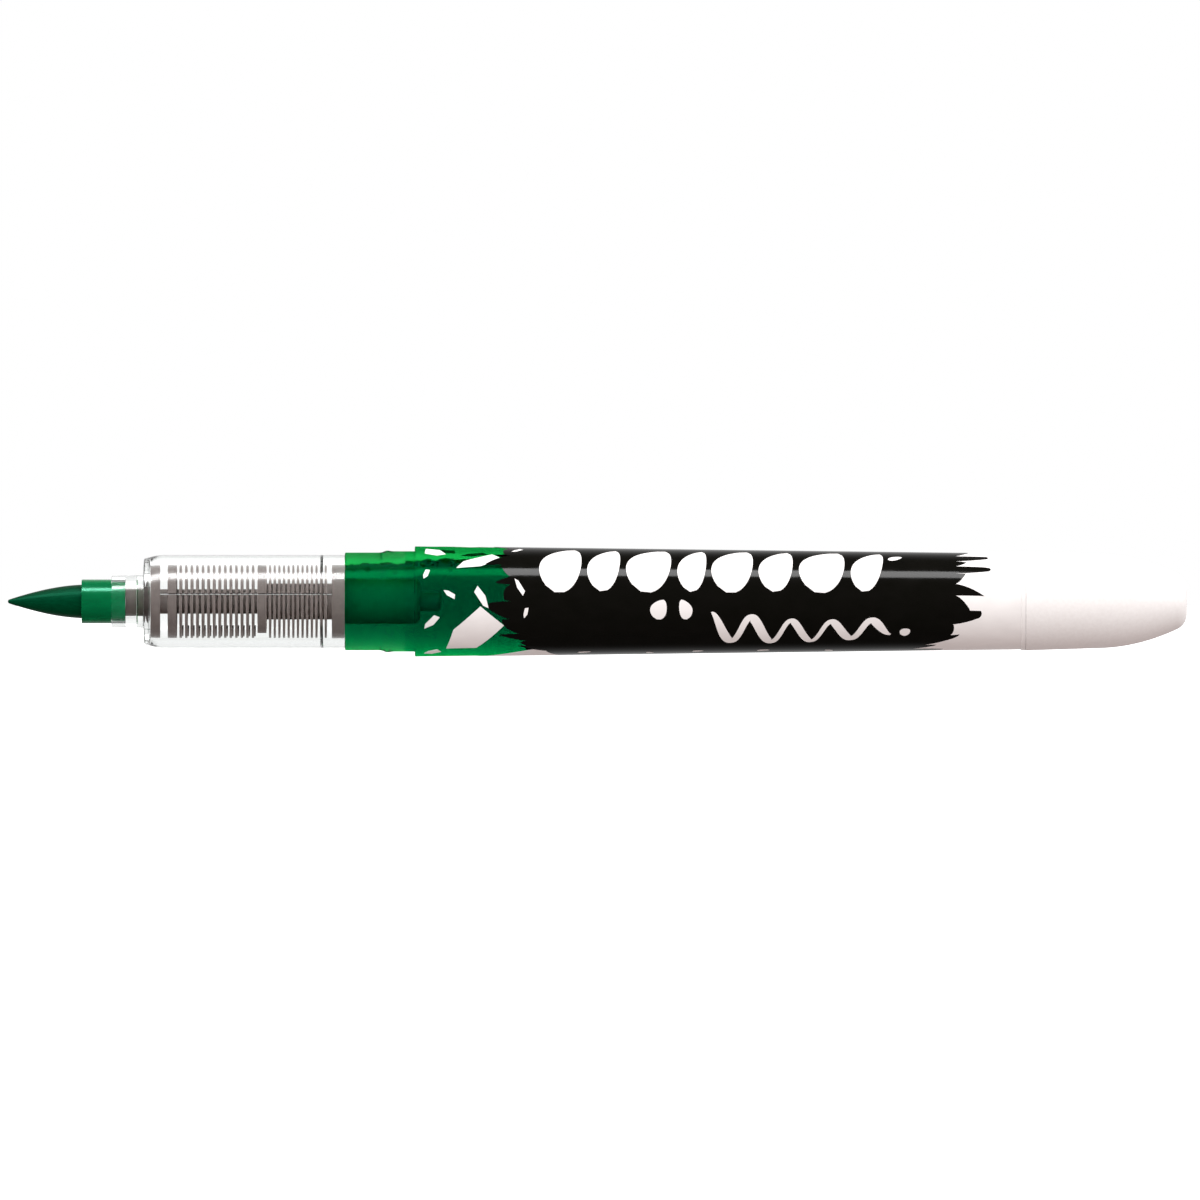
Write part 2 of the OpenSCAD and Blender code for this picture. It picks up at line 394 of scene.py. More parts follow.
def glass_like(name, colour, ior):
    """Clear moulded plastic or liquid that lies against something else, and so hardly glints."""
    material, _ = principled(
        name, Base_Color=(*colour, 1), Roughness=0.0, IOR=ior, Specular_Tint=(0, 0, 0, 1),
        Transmission_Weight=1.0)
    only_bend_on_entry(material)
    return material


def polished(name, colour, glint):
    """Clear plastic that bends light sharply, with a softer, slightly smudged mirror over it.

    Returns the material and the node that mixes the two.
    """
    material, shader = principled(name)
    tree = material.node_tree
    tree.nodes.remove(shader)
    bend = node(material, "ShaderNodeBsdfRefraction")
    bend.inputs["Color"].default_value = (*colour, 1)
    bend.inputs["Roughness"].default_value = 0.0
    bend.inputs["IOR"].default_value = PLASTIC_IOR
    gleam = node(material, "ShaderNodeBsdfAnisotropic")
    gleam.inputs["Color"].default_value = (*glint, 1)
    wear = stretched_noise(material, (0.4, 1, 1), 420, 3)
    smudges = ramp(material, wear.outputs["Fac"], [(0.3, 0.14), (0.7, 0.19)])
    tree.links.new(smudges.outputs["Color"], gleam.inputs["Roughness"])
    mix = node(material, "ShaderNodeMixShader")
    tree.links.new(bend.outputs["BSDF"], mix.inputs[1])
    tree.links.new(gleam.outputs["BSDF"], mix.inputs[2])
    tree.links.new(mix.outputs["Shader"], tree.nodes["Material Output"].inputs["Surface"])
    return material, mix


def clear_plastic():
    """Water-clear polystyrene, polished, with faint handling smudges."""
    material, mix = polished("clear_plastic", (0.99, 1.0, 0.995), (1, 1, 1))
    mirror = node(material, "ShaderNodeFresnel")
    mirror.inputs["IOR"].default_value = PLASTIC_IOR
    material.node_tree.links.new(mirror.outputs["Fac"], mix.inputs["Fac"])
    let_light_through(material, (0.98, 0.99, 0.985))
    return material


def barrel_plastic():
    """The barrel's clear plastic. Ink lies against all of it, and gives its gleam a green cast."""
    material, mix = polished("clear_barrel_plastic", (0.97, 1.0, 0.98), (0.0, 1.0, 0.22))
    mix.inputs["Fac"].default_value = 0.0065
    let_light_through(material, (0.9, 0.99, 0.94))
    return material


def bore_surface():
    """The moulded inside of the clear pieces, which holds liquid or sits on another piece."""
    material = glass_like("clear_bore_surface", (1, 1, 1), PLASTIC_IOR)
    let_light_through(material, (1, 1, 1))
    return material


def ink_liquid():
    """Green ink. Its colour is its depth: it passes green best, blue less and red hardly at all."""
    material = glass_like("green_ink", (0.01, 0.36, 0.068), INK_IOR)
    depth = node(material, "ShaderNodeVolumeAbsorption")
    depth.inputs["Color"].default_value = (0.0, 0.8, 0.874, 1)
    depth.inputs["Density"].default_value = 1000
    tree = material.node_tree
    tree.links.new(depth.outputs["Volume"], tree.nodes["Material Output"].inputs["Volume"])
    let_light_through(material, (0.05, 1.0, 0.85))
    return material


def ink_film():
    """A thin coat of ink that clings where the bulk of it has drained away."""
    material = glass_like("green_ink_film", (0.005, 0.285, 0.052), INK_IOR)
    let_light_through(material, (0.1, 0.6, 0.3))
    return material


def feed_plastic(name, dark, light):
    """Warm grey moulded plastic, finely sparked."""
    material, shader = principled(name, Specular_IOR_Level=0.04)
    grain = stretched_noise(material, (1, 1, 1), 1500, 3)
    colour_from(material, shader, grain, [(0.3, dark), (0.7, light)])
    rough_from(material, shader, grain, 0.5, 0.62)
    bump_from(material, shader, grain, 0.12, 0.02)
    return material


def print_ink(name, dark, light, roughness, level):
    """Gloss transfer print with slight orange peel."""
    material, shader = principled(name, Specular_IOR_Level=level)
    peel = stretched_noise(material, (0.6, 1, 1), 700, 3)
    colour_from(material, shader, peel, [(0.3, dark), (0.7, light)])
    rough_from(material, shader, peel, roughness, roughness * 1.4)
    bump_from(material, shader, peel, 0.03, 0.02)
    return material


def plug_plastic():
    """White moulded plastic, finely sparked."""
    material, shader = principled("white_plug_plastic", Specular_IOR_Level=0.2)
    grain = stretched_noise(material, (1, 1, 1), 2600, 3)
    colour_from(material, shader, grain, [(0.3, (0.79, 0.765, 0.755)), (0.7, (0.83, 0.81, 0.8))])
    rough_from(material, shader, grain, 0.38, 0.5)
    bump_from(material, shader, grain, 0.1, 0.015)
    return material


FIBRE = nib_fibre()
WICK = wick_fibre()
HOLDER = holder_plastic()
CLEAR = clear_plastic()
BARREL = barrel_plastic()
BORE = bore_surface()
INK = ink_liquid()
FILM = ink_film()
FEED = feed_plastic("grey_feed_plastic", (0.13, 0.111, 0.106), (0.154, 0.132, 0.125))
# The same grey plastic, about three times lighter: painted light for the fins' side faces and the core
# between the fins, where the fins shade each other.
FEED_PAINTED_LIGHTER = feed_plastic("grey_feed_painted_light", (0.43, 0.375, 0.357), (0.5, 0.437, 0.418))
FEED_INKED = feed_plastic("inked_feed_tail", (0.21, 0.29, 0.185), (0.26, 0.34, 0.225))
BLACK = print_ink("black_print", (0.0032, 0.003, 0.0022), (0.0042, 0.0038, 0.003), 0.09, 0.097)
WHITE = print_ink("white_print", (0.79, 0.765, 0.755), (0.83, 0.805, 0.795), 0.3, 0.2)
PLUG = plug_plastic()


def finish_piece(piece, material, slot, *stands_for, body=PEN):
    piece.data.materials.clear()
    piece.data.materials.append(material)
    if stands_for:
        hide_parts(*stands_for)
    if body:
        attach(piece, body)
    return piece


def line_bore(piece):
    """Gives a clear piece's inside, and what of it is inside the barrel, the bore's surface."""
    piece.data.materials.append(BORE)
    for face in piece.data.polygons:
        inwards = face.normal.y * face.center.y + face.normal.z * face.center.z < -1e-9
        near_axis = math.hypot(face.center.y, face.center.z) < (BORE_R + 0.1) * MM
        if inwards or near_axis and face.center.x > NECK_X * MM:
            face.material_index = 1


# ---------------------------------------------------------------- brush tip

def make_nib():
    """Tip and root in one piece of fibre: a blunt ogive with shallow flutes."""
    length, bending_share = MOUTH_X - TIP_X, 0.4
    nose_r, point_r, flank_x, fullness = 0.25, 0.18, 0.3, 1.65
    outline = [(TIP_X, 0)]
    outline += [(TIP_X + nose_r * (1 - math.cos(a)), nose_r * math.sin(a))
                for a in (math.radians(d) for d in (20, 40, 60, 80))]
    rows = 60
    for i in range(rows + 1):
        u = flank_x + (length - flank_x) * i / rows
        outline.append((TIP_X + u, point_r + (NIB_R - point_r) * (1 - (1 - u / length) ** fullness)))
    outline += [(MOUTH_X + 0.4, NIB_R - 0.01), (ROOT_END_X - 0.1, NIB_R - 0.02),
                (ROOT_END_X, NIB_R - 0.12), (ROOT_END_X, 0)]

    def flutes(x, angle):
        fade = min(1, max(0, (x - TIP_X) / 3)) * min(1, max(0, (MOUTH_X - 0.1 - x) / 0.8))
        wander = noise.noise(Vector((x * 0.25, math.cos(angle) * 6, math.sin(angle) * 6)))
        return -0.014 * fade * (0.5 + wander)

    nib = lathe("nib", outline, 180, flutes)
    finish_piece(nib, FIBRE, "nib_fibre", "brush_tip", "nib_root", body=None)
    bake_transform(nib)


make_nib()


# ---------------------------------------------------------------- holder

def make_holder():
    """The sleeve that grips the fibre, with a flared mouth and two air slots at its rear."""
    outline = rounded([
        (MOUTH_X, NIB_R + 0.4), (MOUTH_X, HOLDER_R), (HOLDER_END_X, HOLDER_R),
        (HOLDER_END_X, NIB_R), (MOUTH_X + 0.4, NIB_R)], 0.08)
    holder = lathe("holder_sleeve", outline)
    slot_x, level, half = HOLDER_END_X - 1.65, 2.18, 0.1
    cut(holder, [block((slot_x, -4, side * level - half), (HOLDER_END_X + 1, 4, side * level + half))
                 for side in (-1, 1)])
    finish_piece(holder, HOLDER, "holder_plastic", "nib_holder")


make_holder()


# ---------------------------------------------------------------- clear front section

def make_section():
    """Nozzle, tapered front, straight grip, and the tail that is pressed into the barrel."""
    step_x = NOZZLE_X + 2.87
    chamber_x = BODY_X + 0.83
    groove_x, groove_width, groove_depth = NECK_X - 2.8, 0.3, 0.12
    sleeve_r, tail_r, collar_r, spigot_r = HOLDER_R + 0.02, BORE_R + WET, 2.55, 1.78
    vent_r, vent_circle_r = 0.3, 3.65
    taper = [(BODY_X + 0.2 + 1.98 * t, SECTION_R - 0.42 * (1 - t) ** 1.8, 0)
             for t in (0.2, 0.4, 0.6, 0.8, 1)]
    outline = rounded([
        (NOZZLE_X, sleeve_r, 0.02), (NOZZLE_X, 2.92), (BODY_X, 3.03, 0.04), (BODY_X, 4.9, 0.25),
        *taper, (NECK_X, SECTION_R, 0.04), (NECK_X, tail_r, 0), (SECTION_END_X, tail_r, 0),
        (SECTION_END_X, CHAMBER_R, 0), (groove_x + groove_width, CHAMBER_R, 0.02),
        (groove_x + groove_width / 2, CHAMBER_R + groove_depth, 0.03), (groove_x, CHAMBER_R, 0.02),
        (chamber_x, CHAMBER_R, 0.15), (chamber_x, collar_r, 0.05), (step_x, collar_r, 0.05),
        (step_x, spigot_r, 0.03), (HOLDER_END_X, spigot_r, 0.03), (HOLDER_END_X, sleeve_r, 0.02)], 0.06)
    section = lathe("clear_section", outline, 180)
    cut(section, [peg((BODY_X - 0.5, 0, side * vent_circle_r), vent_r, 2) for side in (-1, 1)])
    finish_piece(section, CLEAR, "clear_plastic", "front_section")
    line_bore(section)


make_section()


# ---------------------------------------------------------------- feed

def make_feed():
    """The finned feed, with its slit, its flat and its tail in the ink."""
    fin_r, core, rear_core, spigot = 4.18, 1.4, 2.06, 1.66
    front_fins, front_pitch, front_fin = 14, 0.637, 0.28
    rear_fins, rear_pitch, rear_fin = 13, 0.531, 0.24
    disc, seal_r, tail_r, tail_bore = 1.03, 4.23, 1.9, 0.82
    first_x = BODY_X + 0.92
    second_x = first_x + disc + 0.82
    fins_x = second_x + disc + 0.3
    middle_x = fins_x + front_pitch * front_fins + 0.02
    rear_x = middle_x + disc + 0.28
    seal_x = rear_x + rear_pitch * rear_fins + 0.3

    def fin(x, width, r, foot):
        lip = min(0.05, width * 0.2)
        return [(x, foot, 0.02), (x, r, lip), (x + width, r, lip), (x + width, foot, 0.02)]

    corners = [(COMB_X, tail_bore), (COMB_X, spigot, 0.1)]
    corners += fin(BODY_X + 0.05, 0.22, 2.46, spigot)
    corners += [(first_x, spigot, 0.02)] + fin(first_x, disc, fin_r, core)[1:]
    corners += fin(second_x, disc, fin_r, core)
    for i in range(front_fins):
        corners += fin(fins_x + i * front_pitch, front_fin, fin_r, core)
    corners += fin(middle_x, disc, fin_r, core)[:3] + [(middle_x + disc, rear_core, 0.02)]
    for i in range(rear_fins):
        corners += fin(rear_x + i * rear_pitch, rear_fin, fin_r, rear_core)
    corners += [(seal_x, rear_core, 0.02), (seal_x, seal_r), (NECK_X, seal_r), (NECK_X, tail_r, 0.05),
                (TAIL_END_X - 0.4, tail_r), (TAIL_END_X, tail_r - 0.4), (TAIL_END_X, tail_bore)]
    feed = lathe("feed", rounded(corners, 0.05), 120)
    slit_low, slit_high = 0.725, 0.875
    cut(feed, [
        block((first_x + disc, -6, slit_low), (seal_x, 6, slit_high)),
        block((middle_x - 0.05, -6, -6), (middle_x + disc + 0.05, 6, -3.29)),
        block((NECK_X + 1.2, -0.3, -3), (TAIL_END_X + 1, 0.3, -0.4)),
    ])
    foot_x, foot_width, foot_top = fins_x + front_fin / 2, 0.3, -2.9
    join(feed, [fin_foot(foot_x + i * front_pitch, foot_width, fin_r - 0.2, foot_top)
                for i in range(front_fins)])
    finish_piece(feed, FEED, "feed_plastic", "feed_comb")
    feed.data.materials.append(FEED_PAINTED_LIGHTER)
    feed.data.materials.append(FEED_INKED)
    # Faces in the ink take the green-stained grey. The fins' side faces and the core and slit between the
    # discs and fins take the lighter grey: painted light where the fins shade each other.
    for face in feed.data.polygons:
        x, r = face.center.x / MM, math.hypot(face.center.y, face.center.z) / MM
        among_fins = fins_x < x < seal_x and abs(face.normal.x) > 0.7
        if x > NECK_X + 0.01:
            face.material_index = 2
        elif among_fins or x > first_x and r < rear_core + 0.03:
            face.material_index = 1


def fin_foot(x, width, r, top):
    """A slice of disc below a level, which thickens the foot of a fin."""
    half = math.acos(-top / r)
    steps = 16
    ring = [(r * math.sin(a), -r * math.cos(a)) for a in
            (-half + 2 * half * k / steps for k in range(steps + 1))]
    verts = [(xx * MM, y * MM, z * MM) for xx in (x, x + width) for y, z in ring]
    n = len(ring)
    faces = [tuple(range(n)), tuple(range(2 * n - 1, n - 1, -1))]
    faces += [(k, n + k, n + (k + 1) % n, (k + 1) % n) for k in range(n)]
    mesh = bpy.data.meshes.new("foot")
    mesh.from_pydata(verts, [], faces)
    work = bmesh.new()
    work.from_mesh(mesh)
    bmesh.ops.recalc_face_normals(work, faces=work.faces)
    work.to_mesh(mesh)
    work.free()
    sharpen(mesh)
    return new_object("foot", mesh)


make_feed()


# ---------------------------------------------------------------- barrel

def make_barrel():
    """The clear barrel: cap seat, snap ring and neck, then the long taper under the print."""
    seat_end_x, ring_x, ring_height, neck_rear = NECK_X + 4, NECK_X + 4.9, 0.23, NECK_R + 0.15
    corners = [(NECK_X, BORE_R, 0.03), (NECK_X, NECK_R, 0.12), (seat_end_x, NECK_R, 0)]
    for i in range(1, 11):
        lift = math.sin(math.pi / 2 * i / 10) ** 2
        corners.append((seat_end_x + (ring_x - seat_end_x) * i / 10, NECK_R + ring_height * lift, 0))
    for i in range(1, 6):
        lift = math.sin(math.pi / 2 * i / 5) ** 2
        drop = (NECK_R + ring_height - neck_rear) * lift
        corners.append((ring_x + 0.6 * i / 5, NECK_R + ring_height - drop, 0))
    corners += [(SHOULDER_X, neck_rear, 0.03), (SHOULDER_X, BARREL_FRONT_R, 0.12),
                (FILM_END_X, barrel_radius(FILM_END_X), 0.01), (FILM_END_X + 0.06, BEAD_R - 0.05, 0.01),
                (SEAM_X, BEAD_R - 0.05, 0.03), (SEAM_X, BORE_R, 0.04)]
    barrel = lathe("clear_barrel", rounded(corners, 0.05), 180)
    finish_piece(barrel, BARREL, "barrel_plastic", "barrel")
    line_bore(barrel)


make_barrel()


# ---------------------------------------------------------------- ink

def bore_at(x):
    """Radius of the space that holds the ink."""
    return CHAMBER_R if x < SECTION_END_X - WET else BORE_R


def contact_angle(x):
    """How far round the bore, up from its side, the ink's wavy edge reaches."""
    lap = sum(share * noise.noise(Vector((x * pitch, place, 0)))
              for share, pitch, place in ((1, 0.55, 3.1), (0.6, 1.9, 7.7), (0.35, 4.5, 1.9)))
    return math.radians(62 + 7 * lap)


def ink_rows():
    """Stations along the ink, close together at the front, where it shows, with a step at the bore's step."""
    rows = 300
    stations = [NECK_X + 0.01 + (INK_END_X - NECK_X - 0.01) * (i / rows) ** 1.5 for i in range(rows + 1)]
    stations += [SECTION_END_X - WET - 1e-4, SECTION_END_X - WET]
    return sorted(stations)


def sweep(name, loops):
    """A closed solid through loops of points, each in its own plane across the pen, with flat ends."""
    ring, count = len(loops[0]), len(loops)
    verts = [tuple(c * MM for c in point) for loop in loops for point in loop]
    faces = [tuple(range(ring)), tuple((count - 1) * ring + k for k in range(ring))]
    for i in range(count - 1):
        for k in range(ring):
            a, b = i * ring + k, i * ring + (k + 1) % ring
            faces.append((a, b, b + ring, a + ring))
    mesh = bpy.data.meshes.new(name)
    mesh.from_pydata(verts, [], faces)
    work = bmesh.new()
    work.from_mesh(mesh)
    bmesh.ops.recalc_face_normals(work, faces=work.faces)
    work.to_mesh(mesh)
    work.free()
    sharpen(mesh, 40)
    return new_object(name, mesh)


def make_ink():
    """The ink: full round below, with a free surface that climbs the walls, and bubbles held against them."""
    around, across = 120, 24
    loops = []
    for x in ink_rows():
        r, climb = bore_at(x) + WET, contact_angle(x)
        wall = [climb - (math.pi + 2 * climb) * k / around for k in range(around + 1)]
        loop = [(x, -r * math.cos(a), r * math.sin(a)) for a in wall]
        edge_y, edge_z = r * math.cos(climb), r * math.sin(climb)
        for k in range(1, across):
            t = 1 - 2 * k / across
            loop.append((x, t * edge_y, INK_LEVEL + (edge_z - INK_LEVEL) * abs(t) ** 3))
        loops.append(loop)
    ink = sweep("ink", loops)
    join(ink, [bubble(*place) for place in bubbles()])
    finish_piece(ink, INK, "ink", "ink_charge")


def bubbles():
    """Where bubbles cling, as (x, angle up from the side, radius): most just under the ink's edge."""
    rng = random.Random(4)
    places = []
    x = NECK_X + 1.0
    while x < FILM_X + 9:
        side = rng.choice((0, 0, 1))
        angle = rng.uniform(42, 54) if rng.random() < 0.75 else rng.uniform(20, 42)
        size = rng.uniform(0.12, 0.34)
        places.append((x, math.radians(180 - angle if side else angle), size))
        x += rng.uniform(1.4, 3.6)
    return places


def bubble(x, angle, size):
    """A ball-shaped hole in the ink, against the wall."""
    work = bmesh.new()
    bmesh.ops.create_icosphere(work, subdivisions=3, radius=size * MM)
    distance = bore_at(x) - size - 0.01
    for v in work.verts:
        v.co += Vector((x, -distance * math.cos(angle), distance * math.sin(angle))) * MM
    for face in work.faces:
        face.smooth = True
    bmesh.ops.reverse_faces(work, faces=work.faces)
    mesh = bpy.data.meshes.new("bubble")
    work.to_mesh(mesh)
    work.free()
    return new_object("bubble", mesh)


def make_ink_film():
    """Ink clinging to the bore above the free surface."""
    thickness, around = 0.015, 60
    loops = []
    for x in ink_rows():
        r, climb = bore_at(x), contact_angle(x) - math.radians(0.5)
        angles = [climb + (math.pi - 2 * climb) * k / around for k in range(around + 1)]
        outer = [(x, -(r + WET) * math.cos(a), (r + WET) * math.sin(a)) for a in angles]
        inner = [(x, -(r - thickness) * math.cos(a), (r - thickness) * math.sin(a)) for a in angles]
        loops.append(outer + inner[::-1])
    finish_piece(sweep("ink_film", loops), FILM, "ink")


def make_ink_ring():
    """Ink drawn into the corner between the nozzle's step and the feed's spigot."""
    x = NOZZLE_X + 2.87
    corners = [(x + 0.01, 1.7), (x + 0.01, 2.53), (x + 0.12, 2.53, 0.03), (x + 0.09, 1.7)]
    ring = lathe("ink_ring", rounded(corners, 0.02), 96)
    finish_piece(ring, FILM, "ink")


make_ink()
make_ink_film()
make_ink_ring()


# ---------------------------------------------------------------- plug

def make_plug():
    """The white end plug: short straight taper, full nose, small flat end, hollow inside."""
    corner_r, slope, bulge, taper = 1.9, math.radians(25), 0.0249, 0.031
    nose = (math.tan(slope) - taper) / (2 * bulge)
    straight_x = END_X - corner_r * (1 - math.sin(slope)) - nose

    def radius(v):
        return PLUG_R - taper * (straight_x - SEAM_X + v) - bulge * v * v

    spigot, wall = BORE_R - 0.02, 1.1
    corners = [(PLUG_SPIGOT_X, spigot - 0.15, 0.04), (PLUG_SPIGOT_X + 0.5, spigot, 0.05),
               (SEAM_X + 0.01, spigot, 0.02), (SEAM_X + 0.01, PLUG_R, 0.07)]
    corners += [(straight_x + nose * i / 40, radius(nose * i / 40), 0) for i in range(41)]
    centre_r = radius(nose) - corner_r * math.cos(slope)
    for i in range(1, 17):
        a = slope + (math.pi / 2 - slope) * i / 16
        corners.append((END_X - corner_r + corner_r * math.sin(a), centre_r + corner_r * math.cos(a), 0))
    corners += [(END_X, 0, 0), (straight_x + 6.2, 0, 0)]
    corners += [(straight_x + 5 + 1.2 * math.cos(a), (spigot - wall) * 0.9 * math.sin(a), 0)
                for a in (math.pi / 2 * i / 8 for i in range(1, 9))]
    corners += [(SEAM_X, spigot - wall, 0.1), (PLUG_SPIGOT_X, spigot - wall + 0.1, 0.04)]
    plug = lathe("end_plug", rounded(corners, 0.05), 180)
    finish_piece(plug, PLUG, "plug_plastic", "rear_plug")


make_plug()

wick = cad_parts["relay_wick"]
wick.data.materials.clear()
wick.data.materials.append(WICK)


# ---------------------------------------------------------------- print

# The print is drawn flat, in (x, v): v is the distance round the barrel at PRINT_REF_R, 0 facing -Y and
# upwards positive. Angles round the barrel are in degrees, measured the same way.
PRINT_REF_R = 6.0
PRINT_SKIN = 0.03
SHEET_FROM, SHEET_TO = -105, 255
BAND_FROM, BAND_TO = -86, 240


def arc_length(degrees):
    return math.radians(degrees) * PRINT_REF_R


def print_radius(x):
    """Inside radius of the print: the barrel's taper, then the raised bead at its rear end."""
    climb = min(1, max(0, (x - FILM_END_X) / 0.06))
    return barrel_radius(x) + 0.025 + climb * (BEAD_R - PRINT_SKIN - 0.001 - barrel_radius(x) - 0.025)


def turned_point(x, v, lift):
    r, angle = print_radius(x) + lift, v / PRINT_REF_R
    return Vector((x, -r * math.cos(angle), r * math.sin(angle))) * MM


def curve(a, control, b, steps=6):
    """Points along a quadratic curve, without its last."""
    shares = [k / steps for k in range(steps)]
    return [a * (1 - t) ** 2 + control * 2 * t * (1 - t) + b * t ** 2 for t in shares]


def frayed(edge, out, teeth):
    """Points along an edge with brush-stroke teeth.

    A tooth is (share of the edge, reach, lean, blunt width).
    """
    whole = sum(tooth[0] for tooth in teeth)
    points, at = [], 0
    for share, reach_out, lean, blunt in teeth:
        a, b = edge(at / whole), edge((at + share) / whole)
        along = b - a
        tip = a.lerp(b, 0.5 + lean) + out * reach_out
        tip_a, tip_b = tip - along * blunt / 2, tip + along * blunt / 2
        full, hollow = out * reach_out * 0.65, out * reach_out * 0.3
        bend_a, bend_b = (full, hollow) if lean < 0 else (hollow, full)
        points += curve(a, a.lerp(tip_a, 0.15) + bend_a, tip_a)
        points += curve(tip_a, tip + out * reach_out * 0.12, tip_b, 3)
        points += curve(tip_b, b.lerp(tip_b, 0.15) + bend_b, b)
        at += share
    return points


def tuck(degrees):
    """How far the ends of the black band draw in towards its lower edges."""
    low = max(0, -20 - degrees, degrees - 185) / 55
    return 5.2 * low ** 1.4


def band_end(x, sign, first, last):
    """The plain end of the band, as a function of a share of the way round. The far side is shorter."""
    def edge(t):
        degrees = first + (last - first) * t
        far_side = 2.2 * min(1, max(0, (degrees - 85) / 25)) * min(1, max(0, (250 - degrees) / 30))
        return Vector((x - sign * (tuck(degrees) + far_side), arc_length(degrees)))
    return edge


def straight(a, b):
    return lambda t: a.lerp(b, t)


def bristles(seed, count, reach_out, lean):
    """Brush-stroke teeth of random size, long and short by turns. Reach and lean are (least, most)."""
    rng = random.Random(seed)
    teeth = []
    for i in range(count):
        size = rng.uniform(*reach_out) * (1 if i % 2 else 0.45)
        teeth.append((rng.uniform(7, 18), size, rng.uniform(*lean), rng.choice((0, 0.2, 0.35, 0.5))))
    return teeth


def black_band():
    """A broad black brush stroke round the barrel, frayed on every side."""
    front_x, rear_x = -9.9, 41.0
    front = band_end(front_x, -1, BAND_FROM, BAND_TO)
    rear = band_end(rear_x, 1, BAND_TO, BAND_FROM)
    outline = frayed(front, Vector((-1, 0)), bristles(8, 22, (1.6, 3.4), (-0.5, 0.5)))
    outline += frayed(straight(front(1), rear(0)), Vector((0, 1)), bristles(2, 28, (0.2, 0.8), (-0.4, 0.4)))
    outline += frayed(rear, Vector((1, 0)), bristles(5, 24, (1.8, 3.9), (-0.5, 0.6)))
    outline += frayed(straight(rear(1), front(0)), Vector((0, -1)), bristles(3, 28, (0.2, 0.8), (-0.4, 0.4)))
    return outline


def white_ground():
    """The white that backs the band and covers the barrel behind and below it, its front edge swept back."""
    front_x, swept_back, rise, steps = -14.0, 14.0, 62, 12
    run = [(front_x + swept_back * (k / steps) ** 2, rise * k / steps) for k in range(steps + 1)]
    near = [Vector((x, arc_length(SHEET_FROM + up))) for x, up in run]
    far = [Vector((x, arc_length(SHEET_TO - up))) for x, up in reversed(run)]
    return near + far + [Vector((SEAM_X, arc_length(SHEET_TO))), Vector((SEAM_X, arc_length(SHEET_FROM)))]


def chip(x, degrees, length, width, turn, skew=0.0):
    """An angular chip, pointed at one end and broken off at the other."""
    heading = Vector((math.cos(math.radians(turn)), math.sin(math.radians(turn))))
    aside = Vector((-heading.y, heading.x))
    centre = Vector((x, arc_length(degrees)))
    corners = ((-0.5, -0.1), (-0.1 + skew, -0.5), (0.5, -0.25), (0.35, 0.5), (-0.2 - skew, 0.35))
    return [centre + heading * length * along + aside * width * across for along, across in corners]


def scraps():
    """White chips scattered over the clear window in front of the band: one broad, one long, more small."""
    return [
        chip(-14.4, -36, 7.4, 4.4, 32), chip(-13.6, 47, 5.4, 1.5, 18, 0.1), chip(-18.6, 63, 2.6, 1.5, 155),
        chip(-19.6, 30, 1.3, 0.6, 60), chip(-16.9, 8, 1.6, 0.6, -35), chip(-19.0, -22, 2.2, 0.8, 40, 0.1),
        chip(-13.2, 4, 2.8, 0.9, 120, 0.1), chip(-18.9, -66, 2.0, 0.9, 15), chip(-17.6, 100, 3.0, 1.5, -20),
        chip(-14.2, 88, 3.2, 1.1, 10)]


def leaf(x, degrees, length, width, turn, bend=0.0):
    """One dab of a loaded brush: a curved leaf shape, rounder at its heel than at its tip."""
    steps, half_length = 18, length / 2
    heading = Vector((math.cos(math.radians(turn)), math.sin(math.radians(turn))))
    aside = Vector((-heading.y, heading.x))
    centre = Vector((x, arc_length(degrees)))
    left, right = [], []
    for k in range(steps + 1):
        t = k / steps
        spine = centre + heading * (2 * t - 1) * half_length + aside * bend * math.sin(math.pi * t)
        half_width = width / 2 * math.sin(math.pi * t ** 0.8) ** 0.62
        left.append(spine + aside * half_width)
        right.append(spine - aside * half_width)
    return left + right[::-1]


def dabs():
    """A row of big dabs along the top of the band, and two small ones below them."""
    widths = (4.7, 3.6, 5.0, 3.2, 4.6, 3.8, 5.1, 3.4)
    turns = (70, 74, 66, 78, 70, 75, 67, 72)
    row, x = [], -6.5
    for i, (width, turn) in enumerate(zip(widths, turns)):
        across = width / math.sin(math.radians(turn)) + 0.55
        x += across / 2
        row.append(leaf(x, 41, 6.7 + 0.2 * (-1) ** i, width, turn, 0.45))
        x += across / 2
    row.append(leaf(x + 0.7, 60, 1.7, 0.8, 20))
    row.append(leaf(7.2, -9, 2.4, 1.9, 70, 0.2))
    row.append(leaf(9.9, -9, 2.4, 1.5, 105, -0.2))
    return row


def squiggle():
    """A wavy brush line that swells and thins, and dies away to a dot."""
    steps, waves = 220, 4.5
    from_x, to_x = 13.0, 33.6

    def spine(t):
        fall = math.radians(-30 - 7 * math.sin(t * 3)) * PRINT_REF_R
        swing = 1.9 * (1 - 0.45 * t)
        return Vector((from_x + (to_x - from_x) * t, fall + swing * math.cos(math.tau * waves * t)))

    left, right = [], []
    for k in range(steps + 1):
        t = k / steps
        ahead = (spine(t + 0.001) - spine(t - 0.001)).normalized()
        press = 0.3 + 0.24 * max(0, -ahead.y) + 0.06 * math.sin(t * 9)
        ends = min(1, t * 14, (1 - t) * 14) ** 0.5
        aside = Vector((-ahead.y, ahead.x)) * press * ends
        left.append(spine(t) + aside)
        right.append(spine(t) - aside)
    return [left + right[::-1], leaf(35.2, -38, 1.3, 1.1, 30)]


